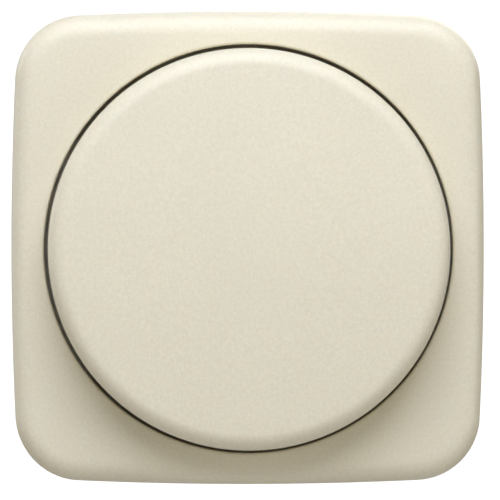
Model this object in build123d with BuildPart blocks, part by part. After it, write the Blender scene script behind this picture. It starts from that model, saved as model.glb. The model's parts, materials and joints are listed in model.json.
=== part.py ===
"""Flush-mounted rotary dimmer switch: square cover plate, large round knob and the insert behind them.

Frame: +X right, +Z up, the room is on the -Y side and the wall on the +Y side. The origin is where the
knob's axis meets the wall's surface. Heights below are millimetres from that surface into the room, so a
negative height lies inside the wall box.
"""

from build123d import *

import os
from math import atan2, cos, radians, sin, sqrt

# ---------------------------------------------------------------- driving dimensions
PLATE_SIZE = 80.0
PLATE_SIDE_RADIUS = 620.0
PLATE_CORNER_RADIUS = 11.2
PLATE_FRONT = 10.0
PLATE_WALL = 2.0
PLATE_DRAFT = 2.0
PLATE_EDGE_ROUND = 3.0
PLATE_RIB = 1.2
WELL_RADIUS = 34.4
WELL_WALL = 1.6
WELL_FLOOR_TOP = 4.6
WELL_FLOOR_BOTTOM = 3.0
WELL_LIP = 0.5

KNOB_RADIUS = 33.8
KNOB_FRONT = 20.0
KNOB_SKIRT_END = 7.2
KNOB_WALL = 1.8
KNOB_ROUND = 2.8
KNOB_DOME = 0.9
KNOB_INNER_TOP = KNOB_FRONT - KNOB_WALL
KNOB_RIB = 1.2
KNOB_RIBS_END = 14.4
HUB_RADIUS = 6.0
HUB_END = 12.0

FRAME_SIZE = 71.0
FRAME_THICK = 1.0
FRAME_FLANGE = (46.0, 1.6)
BOX_SCREW_RADIUS = 30.0
BOX_SLOT_WIDTH = 4.2
BOX_SLOT_LENGTH = 8.0
CORNER_HOLE_PITCH = 52.0
CORNER_HOLE_RADIUS = 2.2

BUSH_RADIUS = 5.0
BUSH_TOP = 9.4
BUSH_PITCH = 0.75
SHAFT_RADIUS = 3.0
SHAFT_FLAT = 1.5
SHAFT_TOP = 17.0
SHAFT_SHOULDER = -2.4
SHAFT_BOTTOM = -10.4
TAIL_RADIUS = 2.0
TAIL_FLAT = 1.3
RUNNING_GAP = 0.05

INSERT_SIZE = 50.0
INSERT_CORNER = 17.0
INSERT_BACK = -26.0
INSERT_WALL = 1.6
STEP_HEIGHT = -9.7
STEP_Z = -13.4
CLAW_BAY_FLOOR = 18.3
CLAW_BAY_HALF = 6.2
FRAME_SCREW_RADIUS = 1.2
FRAME_SCREW_END = -10.0
BOSS_RADIUS = 2.6
BOSS_TOP = -1.4

CLAW_PIVOT_X = 19.5
CLAW_PIVOT_HEIGHT = -4.6
CLAW_SCREW_X = 22.7
CLAW_HALF_WIDTH = 5.0
CLAW_SHEET = 1.2
CLAW_TIP = -21.0
CLAW_SCREW_END = -13.0

BOARD_FRONT = -17.0
BOARD_THICK = 1.6
PINS_END = BOARD_FRONT - BOARD_THICK - 0.8

TERMINALS_X = (-10.0, 0.0, 10.0)
TERMINAL_BLOCK_WIDTH = 32.0
TERMINAL_Z = -18.8
WIRE_HEIGHT = -13.6
WIRE_RADIUS = 1.8
M3_RADIUS = 1.5
BAR_BOTTOM = -16.2
BAR_THICK = 0.8
BAR_PIN_Z = -11.2

FUSE_X = -5.0
FUSE_Z = -15.0
FUSE_HEIGHT = -5.2
FUSE_CLIP_X = 7.9
FUSE_OPENING = (22.6, 8.6)
TRIMMER = (14.3, -9.2)
TRIMMER_RADIUS = 2.25
TRIMMER_TOP = 0.8
CHOKE = (9.2, 15.0)
CHOKE_HEIGHT = BOARD_FRONT + 3.7
TRIAC_Z = 15.5
TRIAC_HOLE_X = -13.7
BOSSES = [(19.5, 10.8), (-19.5, 10.8), (-19.5, -10.8), (19.5, -10.8)]


def at_height(height):
    """The plane parallel to the wall at this height, facing the room; its local axes are X and Z."""
    return Plane.XZ.offset(height)


def save(piece, label):
    piece.part.label = label
    export_step(piece.part, f"parts/{label}.step")


def cushion_outline(inset=0.0):
    """Closed outline of the plate: four slightly bowed sides joined by tangent corner arcs."""
    half = PLATE_SIZE / 2 - inset
    side = PLATE_SIDE_RADIUS - inset
    corner = PLATE_CORNER_RADIUS - inset
    # the corner arc's centre (c, c) lies on the diagonal, and the two arcs touch where they share a normal
    shift = side - half
    reach = side - corner
    c = (-shift + sqrt(2 * reach**2 - shift**2)) / 2
    turn = atan2(c, c + shift)
    ends = (side * cos(turn) - shift, side * sin(turn))
    middle = (c + corner * cos(radians(45)), c + corner * sin(radians(45)))
    with BuildLine(mode=Mode.PRIVATE) as quarter:
        ThreePointArc((ends[0], -ends[1]), (half, 0), ends)
        ThreePointArc(ends, middle, (ends[1], ends[0]))
    with BuildLine(mode=Mode.PRIVATE) as loop:
        for quarter_turn in range(4):
            add(quarter.line.rotate(Axis.Z, 90 * quarter_turn))
    return make_face(loop.edges(), mode=Mode.PRIVATE)


def insert_outline(inset=0.0):
    return RectangleRounded(
        INSERT_SIZE - 2 * inset,
        INSERT_SIZE - 2 * inset,
        INSERT_CORNER - inset,
        mode=Mode.PRIVATE,
    )


def claw_bays(margin):
    """The two strips, left and right, that the claws' bays and their walls take out of an inner piece."""
    bays = Sketch()
    for side in (-1, 1):
        depth = INSERT_SIZE / 2 - CLAW_BAY_FLOOR + margin
        strip = Rectangle(2 * depth, 2 * (CLAW_BAY_HALF + margin), mode=Mode.PRIVATE)
        bays += strip.moved(Location((side * INSERT_SIZE / 2, 0)))
    return bays


def polar(radius, degrees_round):
    """The point at this radius and angle in a sketch."""
    return radius * cos(radians(degrees_round)), radius * sin(radians(degrees_round))


os.makedirs("parts", exist_ok=True)

# ---------------------------------------------------------------- cover plate
with BuildPart() as cover_plate:
    with BuildSketch(at_height(0)):
        add(cushion_outline())
    extrude(amount=PLATE_FRONT, taper=PLATE_DRAFT)
    front_edges = cover_plate.faces().sort_by(Axis.Y)[0].edges()
    fillet(front_edges, radius=PLATE_EDGE_ROUND)
    with BuildSketch(at_height(WELL_FLOOR_TOP)):
        Circle(WELL_RADIUS)
    extrude(amount=PLATE_FRONT, mode=Mode.SUBTRACT)
    round_edges = cover_plate.edges().filter_by(GeomType.CIRCLE)
    well_edges = round_edges.filter_by(lambda e: e.radius == WELL_RADIUS)
    fillet(well_edges.sort_by(Axis.Y)[0], radius=WELL_LIP)
    with BuildSketch(at_height(0)):
        add(cushion_outline(PLATE_WALL))
    extrude(amount=WELL_FLOOR_BOTTOM, mode=Mode.SUBTRACT)
    with BuildSketch(at_height(WELL_FLOOR_BOTTOM)):
        add(cushion_outline(PLATE_WALL + 0.2))
        Circle(WELL_RADIUS + WELL_WALL, mode=Mode.SUBTRACT)
        with PolarLocations(0, 4, start_angle=45):
            Rectangle(2 * PLATE_SIZE, PLATE_RIB, mode=Mode.SUBTRACT)
    extrude(amount=PLATE_FRONT - PLATE_WALL - WELL_FLOOR_BOTTOM, mode=Mode.SUBTRACT)
    with BuildSketch(at_height(0)):
        Circle(BUSH_RADIUS + 0.2)
    extrude(amount=PLATE_FRONT, mode=Mode.SUBTRACT)
save(cover_plate, "cover_plate")

# ---------------------------------------------------------------- knob and its clip
with BuildPart() as control_knob:
    with BuildSketch(Plane.YZ) as knob_body:
        with BuildLine():
            dome = ThreePointArc(
                (-KNOB_FRONT, 0),
                (-KNOB_FRONT + KNOB_DOME / 4, KNOB_RADIUS / 2),
                (-KNOB_FRONT + KNOB_DOME, KNOB_RADIUS - 0.2),
            )
            Polyline(dome @ 1, (-KNOB_SKIRT_END, KNOB_RADIUS), (-KNOB_SKIRT_END, 0), (-KNOB_FRONT, 0))
        make_face()
        fillet(knob_body.vertices().sort_by_distance((-KNOB_FRONT, KNOB_RADIUS))[0], radius=KNOB_ROUND)
    revolve(axis=Axis.Y)
    with BuildSketch(Plane.YZ) as knob_hollow:
        with BuildLine():
            ceiling = ThreePointArc(
                (-KNOB_INNER_TOP, 0),
                (-KNOB_INNER_TOP + KNOB_DOME / 4, KNOB_RADIUS / 2),
                (-KNOB_INNER_TOP + KNOB_DOME, KNOB_RADIUS - KNOB_WALL - 0.2),
            )
            inside = KNOB_RADIUS - KNOB_WALL
            Polyline(ceiling @ 1, (-KNOB_SKIRT_END, inside), (0, inside), (0, 0), (-KNOB_INNER_TOP, 0))
        make_face()
        ceiling_corner = knob_hollow.vertices().sort_by_distance((-KNOB_INNER_TOP, KNOB_RADIUS))[0]
        fillet(ceiling_corner, radius=KNOB_ROUND - KNOB_WALL)
    revolve(axis=Axis.Y, mode=Mode.SUBTRACT)
    with BuildSketch(at_height(HUB_END)):
        Circle(HUB_RADIUS)
    extrude(amount=KNOB_INNER_TOP - HUB_END + 0.4)
    with BuildSketch(at_height(KNOB_RIBS_END)):
        with PolarLocations(KNOB_RADIUS / 2, 8):
            Rectangle(KNOB_RADIUS - 2 * KNOB_WALL + 0.4, KNOB_RIB)
    extrude(amount=KNOB_INNER_TOP - KNOB_RIBS_END + 0.1)
    with BuildSketch(at_height(HUB_END)):
        Circle(SHAFT_RADIUS + RUNNING_GAP)
        with Locations((0, SHAFT_FLAT + RUNNING_GAP + 2)):
            Rectangle(8, 4, mode=Mode.SUBTRACT)
        with Locations((0, 2.45)):
            Rectangle(4.6, 2.0)
    extrude(amount=SHAFT_TOP - HUB_END + 0.2, mode=Mode.SUBTRACT)
save(control_knob, "control_knob")

with BuildPart() as knob_spring_clip:
    with BuildSketch(at_height(HUB_END + 0.4)):
        with BuildLine():
            crown = ThreePointArc((-2.2, 3.1), (0, SHAFT_FLAT + 0.02), (2.2, 3.1))
            offset(crown, amount=0.3, side=Side.LEFT)
        make_face()
    extrude(amount=4.2)
save(knob_spring_clip, "knob_spring_clip")

# ---------------------------------------------------------------- shaft, bush and the nuts on it
with BuildPart() as control_shaft:
    with BuildSketch(at_height(SHAFT_BOTTOM)):
        Circle(TAIL_RADIUS)
    extrude(amount=SHAFT_SHOULDER - SHAFT_BOTTOM)
    with BuildSketch(at_height(SHAFT_SHOULDER)):
        Circle(SHAFT_RADIUS)
    extrude(amount=SHAFT_TOP - SHAFT_SHOULDER)
    chamfer(control_shaft.edges().filter_by(GeomType.CIRCLE).sort_by(Axis.Y)[0], length=0.5)
    with BuildSketch(at_height(BUSH_TOP + 0.4)):
        with Locations((0, SHAFT_FLAT + 2)):
            Rectangle(8, 4)
    extrude(amount=SHAFT_TOP, mode=Mode.SUBTRACT)
    with BuildSketch(at_height(SHAFT_BOTTOM)):
        with Locations((0, TAIL_FLAT + 1)):
            Rectangle(5, 2)
    extrude(amount=SHAFT_SHOULDER - SHAFT_BOTTOM, mode=Mode.SUBTRACT)
    # groove for the retaining ring
    with BuildSketch(at_height(SHAFT_SHOULDER)):
        Circle(SHAFT_RADIUS + 1)
        Circle(SHAFT_RADIUS - 0.6, mode=Mode.SUBTRACT)
    extrude(amount=0.6, mode=Mode.SUBTRACT)
save(control_shaft, "control_shaft")

with BuildPart() as shaft_retaining_ring:
    with BuildSketch(at_height(SHAFT_SHOULDER + RUNNING_GAP)):
        Circle(4.4)
        Circle(SHAFT_RADIUS - 0.55, mode=Mode.SUBTRACT)
        with Locations((0, -3.4)):
            Rectangle(3.0, 4.4, mode=Mode.SUBTRACT)
    extrude(amount=0.5)
save(shaft_retaining_ring, "shaft_retaining_ring")

BUSH_COLLAR = (8.5, 1.5)
THREAD_DEPTH = 0.4
with BuildPart() as threaded_bush:
    with BuildSketch(Plane.YZ):
        with BuildLine():
            thread = [
                (-1.0 - BUSH_PITCH * n / 2, BUSH_RADIUS - THREAD_DEPTH * (n % 2))
                for n in range(2 * int((BUSH_TOP - 1.2) / BUSH_PITCH) + 1)
            ]
            Polyline(
                (BUSH_COLLAR[1], SHAFT_RADIUS + RUNNING_GAP),
                (BUSH_COLLAR[1], BUSH_COLLAR[0]),
                (0, BUSH_COLLAR[0]),
                (0, BUSH_RADIUS),
                *thread,
                (-BUSH_TOP, BUSH_RADIUS - THREAD_DEPTH),
                (-BUSH_TOP, SHAFT_RADIUS + RUNNING_GAP),
                close=True,
            )
        make_face()
    revolve(axis=Axis.Y)
save(threaded_bush, "threaded_bush")


WASHER_THICK = 0.4


def hex_nut(bottom, thick, across_flats, washer_radius=0.0, washer_thick=0.0):
    """Chamfered nut on the bush's thread, with a fixed washer under it where a radius is given."""
    with BuildPart() as nut:
        with BuildSketch(at_height(bottom)):
            RegularPolygon(across_flats / 2, 6, major_radius=False)
        extrude(amount=thick)
        chamfer(nut.faces().sort_by(Axis.Y)[0].edges(), length=0.3)
        if washer_radius:
            with BuildSketch(at_height(bottom)):
                Circle(washer_radius)
            extrude(amount=washer_thick)
        with BuildSketch(at_height(bottom)):
            Circle(BUSH_RADIUS + RUNNING_GAP)
        extrude(amount=thick, mode=Mode.SUBTRACT)
    return nut


save(hex_nut(WELL_FLOOR_TOP, 3.4, 14.0, washer_radius=9.0, washer_thick=1.0), "plate_nut")
save(hex_nut(FRAME_THICK + WASHER_THICK, 1.6, 13.0), "bush_nut")

with BuildPart() as lock_washer:
    with BuildSketch(at_height(FRAME_THICK)):
        Circle(7.8)
        Circle(BUSH_RADIUS + 0.15, mode=Mode.SUBTRACT)
        with PolarLocations(7.4, 12):
            Rectangle(1.6, 1.4, mode=Mode.SUBTRACT)
    extrude(amount=WASHER_THICK)
save(lock_washer, "lock_washer")

# ---------------------------------------------------------------- support frame and its screws
with BuildPart() as support_frame:
    with BuildSketch(at_height(0)):
        RectangleRounded(FRAME_SIZE, FRAME_SIZE, 6)
        Circle(BUSH_RADIUS + 0.15, mode=Mode.SUBTRACT)
        with PolarLocations(BOX_SCREW_RADIUS, 4):
            SlotOverall(BOX_SLOT_LENGTH, BOX_SLOT_WIDTH, mode=Mode.SUBTRACT)
        with Locations((CLAW_SCREW_X, 0), (-CLAW_SCREW_X, 0)):
            Circle(M3_RADIUS + 0.1, mode=Mode.SUBTRACT)
        with Locations(*BOSSES):
            Circle(1.4, mode=Mode.SUBTRACT)
        with Locations((TRIAC_HOLE_X, TRIAC_Z)):
            Circle(M3_RADIUS + 0.05, mode=Mode.SUBTRACT)
        with Locations(TRIMMER):
            Circle(TRIMMER_RADIUS + 0.15, mode=Mode.SUBTRACT)
        with Locations((FUSE_X, FUSE_Z)):
            RectangleRounded(*FUSE_OPENING, 0.8, mode=Mode.SUBTRACT)
        with GridLocations(CORNER_HOLE_PITCH, CORNER_HOLE_PITCH, 2, 2):
            Circle(CORNER_HOLE_RADIUS, mode=Mode.SUBTRACT)
    extrude(amount=FRAME_THICK)
    # stiffening flanges turned up towards the room along the top and bottom edges
    with BuildSketch(at_height(FRAME_THICK)):
        with GridLocations(0, FRAME_SIZE - FRAME_THICK, 1, 2):
            Rectangle(FRAME_FLANGE[0], FRAME_THICK)
    extrude(amount=FRAME_FLANGE[1])
save(support_frame, "support_frame")


def pan_screw(head_bottom, head_radius, head_thick, shank_radius, shank_end, places, slot_width=0.8):
    """Slotted pan-head screws at these places; the head stands on head_bottom, facing the room."""
    with BuildPart() as screws:
        with BuildSketch(at_height(head_bottom)):
            with Locations(*places):
                Circle(head_radius)
        extrude(amount=head_thick)
        top = screws.faces().group_by(Axis.Y)[0].edges()
        fillet(top, radius=head_thick * 0.45)
        with BuildSketch(at_height(head_bottom + head_thick)):
            with Locations(*places):
                Rectangle(3 * head_radius, slot_width, rotation=35)
        extrude(amount=-0.55 * head_thick, mode=Mode.SUBTRACT)
        with BuildSketch(at_height(head_bottom)):
            with Locations(*places):
                Circle(shank_radius)
        extrude(amount=shank_end - head_bottom)
    return screws


save(pan_screw(FRAME_THICK, 2.3, 1.4, FRAME_SCREW_RADIUS, FRAME_SCREW_END, BOSSES), "frame_screws")


# ---------------------------------------------------------------- spreader claws
def claw(side):
    """Steel claw hinged on its rolled inner edge; side is +1 on the right and -1 on the left."""
    roll_radius = 0.9
    flange_top = CLAW_PIVOT_HEIGHT - 0.3
    flange_end = CLAW_PIVOT_X + 6.6
    inner_face = flange_end - CLAW_SHEET
    with BuildPart() as piece:
        with BuildSketch(Plane.XY.offset(-CLAW_HALF_WIDTH)):
            with Locations((side * CLAW_PIVOT_X, -CLAW_PIVOT_HEIGHT)):
                Circle(roll_radius)
            with BuildLine():
                Polyline(
                    (side * CLAW_PIVOT_X, -flange_top),
                    (side * flange_end, -flange_top),
                    (side * flange_end, -CLAW_TIP - 1.6),
                    (side * (flange_end + 1.3), -CLAW_TIP),
                    (side * (flange_end + 0.2), -CLAW_TIP),
                    (side * inner_face, -CLAW_TIP - 1.4),
                    (side * inner_face, -flange_top + CLAW_SHEET),
                    (side * CLAW_PIVOT_X, -flange_top + CLAW_SHEET),
                    close=True,
                )
            make_face()
        extrude(amount=2 * CLAW_HALF_WIDTH)
        bends = piece.edges().filter_by(Axis.Z).filter_by(
            lambda e: abs(abs(e.center().X) - flange_end) < 0.01 and abs(e.center().Y + flange_top) < 0.01
        )
        fillet(bends, radius=1.0)
        with BuildSketch(at_height(flange_top + 1)):
            with Locations((side * (CLAW_PIVOT_X + 3.1), 0)):
                SlotOverall(4.3, 2 * M3_RADIUS + 0.3)
        extrude(amount=-CLAW_SHEET - 2, mode=Mode.SUBTRACT)
        # saw teeth along the free edge
        with BuildSketch(Plane.YZ.offset(side * 30)):
            for tooth in range(-2, 3):
                with Locations((-CLAW_TIP, tooth * 2.2)):
                    Triangle(a=1.5, b=1.5, C=90, rotation=-45, align=Align.CENTER)
        extrude(amount=-side * 8, mode=Mode.SUBTRACT)
    return piece


def claw_nut(side):
    """Half-round nut that lifts the claw's flange as it climbs the screw."""
    radius = 2.0
    half_length = 3.6
    centre = CLAW_PIVOT_HEIGHT - 0.3 - CLAW_SHEET - radius - 0.02
    with BuildPart() as nut:
        with BuildSketch(Plane.XY.offset(-half_length)):
            with Locations((side * CLAW_SCREW_X, -centre)):
                Circle(radius)
                with Locations((0, radius)):
                    Rectangle(5, 1.6, mode=Mode.SUBTRACT)
        extrude(amount=2 * half_length)
        with BuildSketch(at_height(centre - 2 * radius)):
            with Locations((side * CLAW_SCREW_X, 0)):
                Circle(M3_RADIUS + RUNNING_GAP)
        extrude(amount=4 * radius, mode=Mode.SUBTRACT)
    return nut


for side, name in ((-1, "left"), (1, "right")):
    save(claw(side), f"claw_{name}")
    save(claw_nut(side), f"claw_nut_{name}")
    spot = [(side * CLAW_SCREW_X, 0)]
    save(pan_screw(FRAME_THICK, 2.75, 1.6, M3_RADIUS, CLAW_SCREW_END, spot), f"claw_screw_{name}")

# ---------------------------------------------------------------- insert housing
BAY_WALL = 1.3
BAR_SLOT_BOTTOM = BAR_BOTTOM - 0.2
BAR_SLOT = (4.4, 1.2)
BOARD_POSTS = [(-7, 21), (2, 21), (-15, -10.5), (15, -10.5)]
with BuildPart() as insert_housing:
    with BuildSketch(at_height(INSERT_BACK)):
        add(insert_outline())
    extrude(amount=-INSERT_BACK)
    fillet(insert_housing.faces().sort_by(Axis.Y)[-1].edges(), radius=1.5)
    with BuildSketch(at_height(INSERT_BACK + INSERT_WALL)):
        add(insert_outline(INSERT_WALL))
        with Locations((0, -INSERT_SIZE / 2)):
            Rectangle(INSERT_SIZE, 2 * (INSERT_SIZE / 2 + STEP_Z + 1.0), mode=Mode.SUBTRACT)
        add(claw_bays(BAY_WALL), mode=Mode.SUBTRACT)
    extrude(amount=-INSERT_BACK - INSERT_WALL, mode=Mode.SUBTRACT)
    # shallow front room over the terminal step
    with BuildSketch(at_height(STEP_HEIGHT + 1.0)):
        add(insert_outline(INSERT_WALL))
        add(claw_bays(BAY_WALL), mode=Mode.SUBTRACT)
    extrude(amount=-STEP_HEIGHT, mode=Mode.SUBTRACT)
    # bay for the terminal block
    with BuildSketch(at_height(INSERT_BACK - 1)):
        with Locations((0, -INSERT_SIZE)):
            Rectangle(TERMINAL_BLOCK_WIDTH + 0.2, 2 * (INSERT_SIZE + STEP_Z))
    extrude(amount=STEP_HEIGHT - INSERT_BACK + 1, mode=Mode.SUBTRACT)
    # claw bays, open to the sides and the back
    with BuildSketch(at_height(INSERT_BACK - 1)):
        with GridLocations(2 * INSERT_SIZE, 0, 2, 1):
            Rectangle(2 * (INSERT_SIZE - CLAW_BAY_FLOOR), 2 * CLAW_BAY_HALF)
    extrude(amount=-INSERT_BACK + 2, mode=Mode.SUBTRACT)
    # shoulders that the claws' rolled edges turn against
    with BuildSketch(Plane.XY.offset(-CLAW_BAY_HALF)):
        for side in (-1, 1):
            with Locations((side * (CLAW_BAY_FLOOR + 0.6), 2.4)):
                Rectangle(1.4, 4.4)
            with Locations((side * CLAW_PIVOT_X, -CLAW_PIVOT_HEIGHT)):
                Circle(0.95, mode=Mode.SUBTRACT)
    extrude(amount=2 * CLAW_BAY_HALF)
    # screw bosses, board posts and slots for the terminal bars
    with BuildSketch(at_height(INSERT_BACK + 1)):
        with Locations(*BOSSES):
            Circle(BOSS_RADIUS)
    extrude(amount=BOSS_TOP - INSERT_BACK - 1)
    with BuildSketch(at_height(INSERT_BACK + 1)):
        with Locations(*BOARD_POSTS):
            Circle(1.2)
    extrude(amount=BOARD_FRONT - BOARD_THICK - INSERT_BACK - 1)
    with BuildSketch(at_height(-1)):
        with Locations(*BOSSES):
            Circle(FRAME_SCREW_RADIUS + RUNNING_GAP)
    extrude(amount=-12, mode=Mode.SUBTRACT)
    with BuildSketch(at_height(BAR_SLOT_BOTTOM)):
        with Locations(*[(x, STEP_Z + 0.5) for x in TERMINALS_X]):
            Rectangle(BAR_SLOT[0], 2.4)
    extrude(amount=BAR_SLOT[1], mode=Mode.SUBTRACT)
save(insert_housing, "insert_housing")

with BuildPart() as inner_lid:
    with BuildSketch(at_height(-1.3)):
        add(insert_outline(INSERT_WALL + 0.15))
        add(claw_bays(BAY_WALL + 0.2), mode=Mode.SUBTRACT)
        Circle(8.7, mode=Mode.SUBTRACT)
        with Locations(*BOSSES):
            Circle(1.4, mode=Mode.SUBTRACT)
        with Locations((-9.0, TRIAC_Z)):
            Rectangle(17.0, 11.0, mode=Mode.SUBTRACT)
        with Locations(TRIMMER):
            Circle(TRIMMER_RADIUS + 0.15, mode=Mode.SUBTRACT)
        with Locations((FUSE_X, FUSE_Z)):
            Rectangle(*FUSE_OPENING, mode=Mode.SUBTRACT)
    extrude(amount=1.2)
save(inner_lid, "inner_lid")

# ---------------------------------------------------------------- terminal block, cages, screws and bars
CAGE_SIZE = (6.4, 9.6, 6.6)
CAGE_HEIGHT = -15.4
SCREW_HEAD_RADIUS = 2.5
SCREW_HEAD_BACK = -25.0
SCREW_HEAD_FRONT = -23.4
SCREW_END = -16.3
with BuildPart() as terminal_block:
    with BuildSketch(at_height(INSERT_BACK)):
        add(insert_outline())
        with Locations((0, STEP_Z - 0.1 + INSERT_SIZE)):
            Rectangle(2 * INSERT_SIZE, 2 * INSERT_SIZE, mode=Mode.SUBTRACT)
        with GridLocations(2 * INSERT_SIZE, 0, 2, 1):
            Rectangle(2 * INSERT_SIZE - TERMINAL_BLOCK_WIDTH, INSERT_SIZE, mode=Mode.SUBTRACT)
    extrude(amount=STEP_HEIGHT - 0.05 - INSERT_BACK)
    for x in TERMINALS_X:
        with BuildSketch(at_height(INSERT_BACK + INSERT_WALL)):
            with Locations((x, TERMINAL_Z)):
                Rectangle(CAGE_SIZE[0] + 0.4, CAGE_SIZE[2] + 1.2)
        extrude(amount=-INSERT_BACK, mode=Mode.SUBTRACT)
        with BuildSketch(at_height(INSERT_BACK + 0.9)):
            with Locations((x, TERMINAL_Z)):
                Circle(SCREW_HEAD_RADIUS + 0.3)
        extrude(amount=2, mode=Mode.SUBTRACT)
        with BuildSketch(at_height(INSERT_BACK)):
            with Locations((x, TERMINAL_Z)):
                Circle(2.1)
        extrude(amount=2, mode=Mode.SUBTRACT)
        with BuildSketch(Plane.XY.offset(-INSERT_SIZE / 2 - 1)):
            with Locations((x, -WIRE_HEIGHT)):
                Circle(WIRE_RADIUS)
        extrude(amount=4, mode=Mode.SUBTRACT)
        with BuildSketch(at_height(BAR_SLOT_BOTTOM)):
            with Locations((x, STEP_Z - 1)):
                Rectangle(BAR_SLOT[0], 3.0)
        extrude(amount=BAR_SLOT[1], mode=Mode.SUBTRACT)
    lugs = terminal_block.faces().filter_by(Axis.Y).sort_by(Axis.Y)[-1].outer_wire().edges()
    fillet(lugs.filter_by(GeomType.LINE).sort_by(Axis.Z)[0], radius=1.0)
save(terminal_block, "terminal_block")

for number, x in enumerate(TERMINALS_X, start=1):
    with BuildPart() as cage:
        with BuildSketch(Plane.XY.offset(TERMINAL_Z - CAGE_SIZE[2] / 2)):
            with Locations((x, -CAGE_HEIGHT)):
                RectangleRounded(CAGE_SIZE[0], CAGE_SIZE[1], 0.6)
            with Locations((x, -CAGE_HEIGHT - 0.4)):
                Rectangle(4.4, 6.4, mode=Mode.SUBTRACT)
        extrude(amount=CAGE_SIZE[2])
        with BuildSketch(at_height(-21)):
            with Locations((x, TERMINAL_Z)):
                Circle(M3_RADIUS + RUNNING_GAP)
        extrude(amount=3.5, mode=Mode.SUBTRACT)
    save(cage, f"terminal_cage_{number}")

    with BuildPart() as terminal_screw:
        with BuildSketch(at_height(SCREW_HEAD_BACK)):
            with Locations((x, TERMINAL_Z)):
                Circle(SCREW_HEAD_RADIUS)
        extrude(amount=SCREW_HEAD_FRONT - SCREW_HEAD_BACK)
        fillet(terminal_screw.faces().sort_by(Axis.Y)[-1].edges(), radius=0.4)
        with BuildSketch(at_height(SCREW_HEAD_BACK)):
            with Locations((x, TERMINAL_Z)):
                Rectangle(6, 0.8, rotation=20 * number)
                Rectangle(0.8, 3.2, rotation=20 * number)
        extrude(amount=0.9, mode=Mode.SUBTRACT)
        with BuildSketch(at_height(SCREW_HEAD_FRONT)):
            with Locations((x, TERMINAL_Z)):
                Circle(M3_RADIUS)
        extrude(amount=SCREW_END - SCREW_HEAD_FRONT)
        chamfer(terminal_screw.faces().sort_by(Axis.Y)[0].edges(), length=0.35)
    save(terminal_screw, f"terminal_screw_{number}")

with BuildPart() as terminal_bars:
    with BuildSketch(at_height(BAR_BOTTOM)):
        with Locations(*[(x, -16.7) for x in TERMINALS_X]):
            Rectangle(3.2, 11.8)
    extrude(amount=BAR_THICK)
    with BuildSketch(at_height(BAR_BOTTOM + BAR_THICK)):
        with Locations(*[(x, BAR_PIN_Z) for x in TERMINALS_X]):
            Rectangle(2.0, BAR_THICK)
    extrude(amount=PINS_END - BAR_BOTTOM - BAR_THICK)
save(terminal_bars, "terminal_bars")

# ---------------------------------------------------------------- circuit board
LEAD_PITCH = 2.54
POT_TAGS_X = (-5, 0, 5)
POT_PIN_Z = -9.6
SWITCH_PINS = [(-5, 5), (5, 5), (-5, -5), (5, -5)]
TRIAC_LEAD_X = 0.25
TRIAC_LEADS_Z = (TRIAC_Z - LEAD_PITCH, TRIAC_Z, TRIAC_Z + LEAD_PITCH)
FUSE_CLIP_PIN_Z = -10.9
PIN_HOLES = [(x, POT_PIN_Z) for x in POT_TAGS_X] + SWITCH_PINS
PIN_HOLES += [(TRIAC_LEAD_X, z) for z in TRIAC_LEADS_Z]
LEAD_HOLES = [(-13, TRIAC_Z), (-3, TRIAC_Z), (11.8, 2.5), (11.8, -2.5), (14.8, 2.5), (14.8, -2.5)]
LEAD_HOLES += [(12.2, 9.0), (6.2, 21.3)]
RESISTORS_X = (-15.0, -12.2, -9.4)
RESISTOR_AXIS = BOARD_FRONT + 1.3
RESISTOR_LEAD_Z = 4.3
RESISTOR_HALF = 3.2
DIAC = (-12.0, 8.2)
DIAC_LEAD_Z = 2.3
DIAC_HALF = 1.9
AXIAL_HOLES = [(x, z) for x in RESISTORS_X for z in (-RESISTOR_LEAD_Z, RESISTOR_LEAD_Z)]
AXIAL_HOLES += [(DIAC[0], DIAC[1] - DIAC_LEAD_Z), (DIAC[0], DIAC[1] + DIAC_LEAD_Z)]
with BuildPart() as circuit_board:
    with BuildSketch(at_height(BOARD_FRONT - BOARD_THICK)):
        add(insert_outline(INSERT_WALL + 0.3))
        with Locations((0, -INSERT_SIZE / 2)):
            Rectangle(INSERT_SIZE, 2 * (INSERT_SIZE / 2 - 12.2), mode=Mode.SUBTRACT)
        add(claw_bays(BAY_WALL + 0.3), mode=Mode.SUBTRACT)
        with Locations(*BOSSES):
            Circle(BOSS_RADIUS + 0.3, mode=Mode.SUBTRACT)
        with Locations(*PIN_HOLES, *LEAD_HOLES):
            Circle(0.7, mode=Mode.SUBTRACT)
        with Locations(*AXIAL_HOLES):
            Circle(0.5, mode=Mode.SUBTRACT)
        with Locations(*[(x, BAR_PIN_Z) for x in TERMINALS_X]):
            Rectangle(2.4, BAR_THICK + 0.4, mode=Mode.SUBTRACT)
        with Locations(*[(FUSE_X + x, FUSE_CLIP_PIN_Z) for x in (-FUSE_CLIP_X, FUSE_CLIP_X)]):
            Rectangle(1.8, 0.8, mode=Mode.SUBTRACT)
    extrude(amount=BOARD_THICK)
save(circuit_board, "circuit_board")

# ---------------------------------------------------------------- potentiometer
CAN_RADIUS = 8.5
CAN_WALL = 0.4
CAN_BOTTOM = -9.9
ROTOR_RADIUS = 6.5
ROTOR_TOP = -5.0
ROTOR_BOTTOM = -7.0
TRACK_TOP = -8.6
TAG_TOP = TRACK_TOP - 1.35
WIPER_FINGERS_X = (-0.9, 0.9)


def sector(outer, inner, first, last):
    """The part of a ring between two angles, in degrees."""
    with BuildLine(mode=Mode.PRIVATE) as edge:
        CenterArc((0, 0), outer, first, last - first)
        CenterArc((0, 0), inner, first, last - first)
        Line(polar(outer, first), polar(inner, first))
        Line(polar(outer, last), polar(inner, last))
    return make_face(edge.edges(), mode=Mode.PRIVATE)


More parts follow.
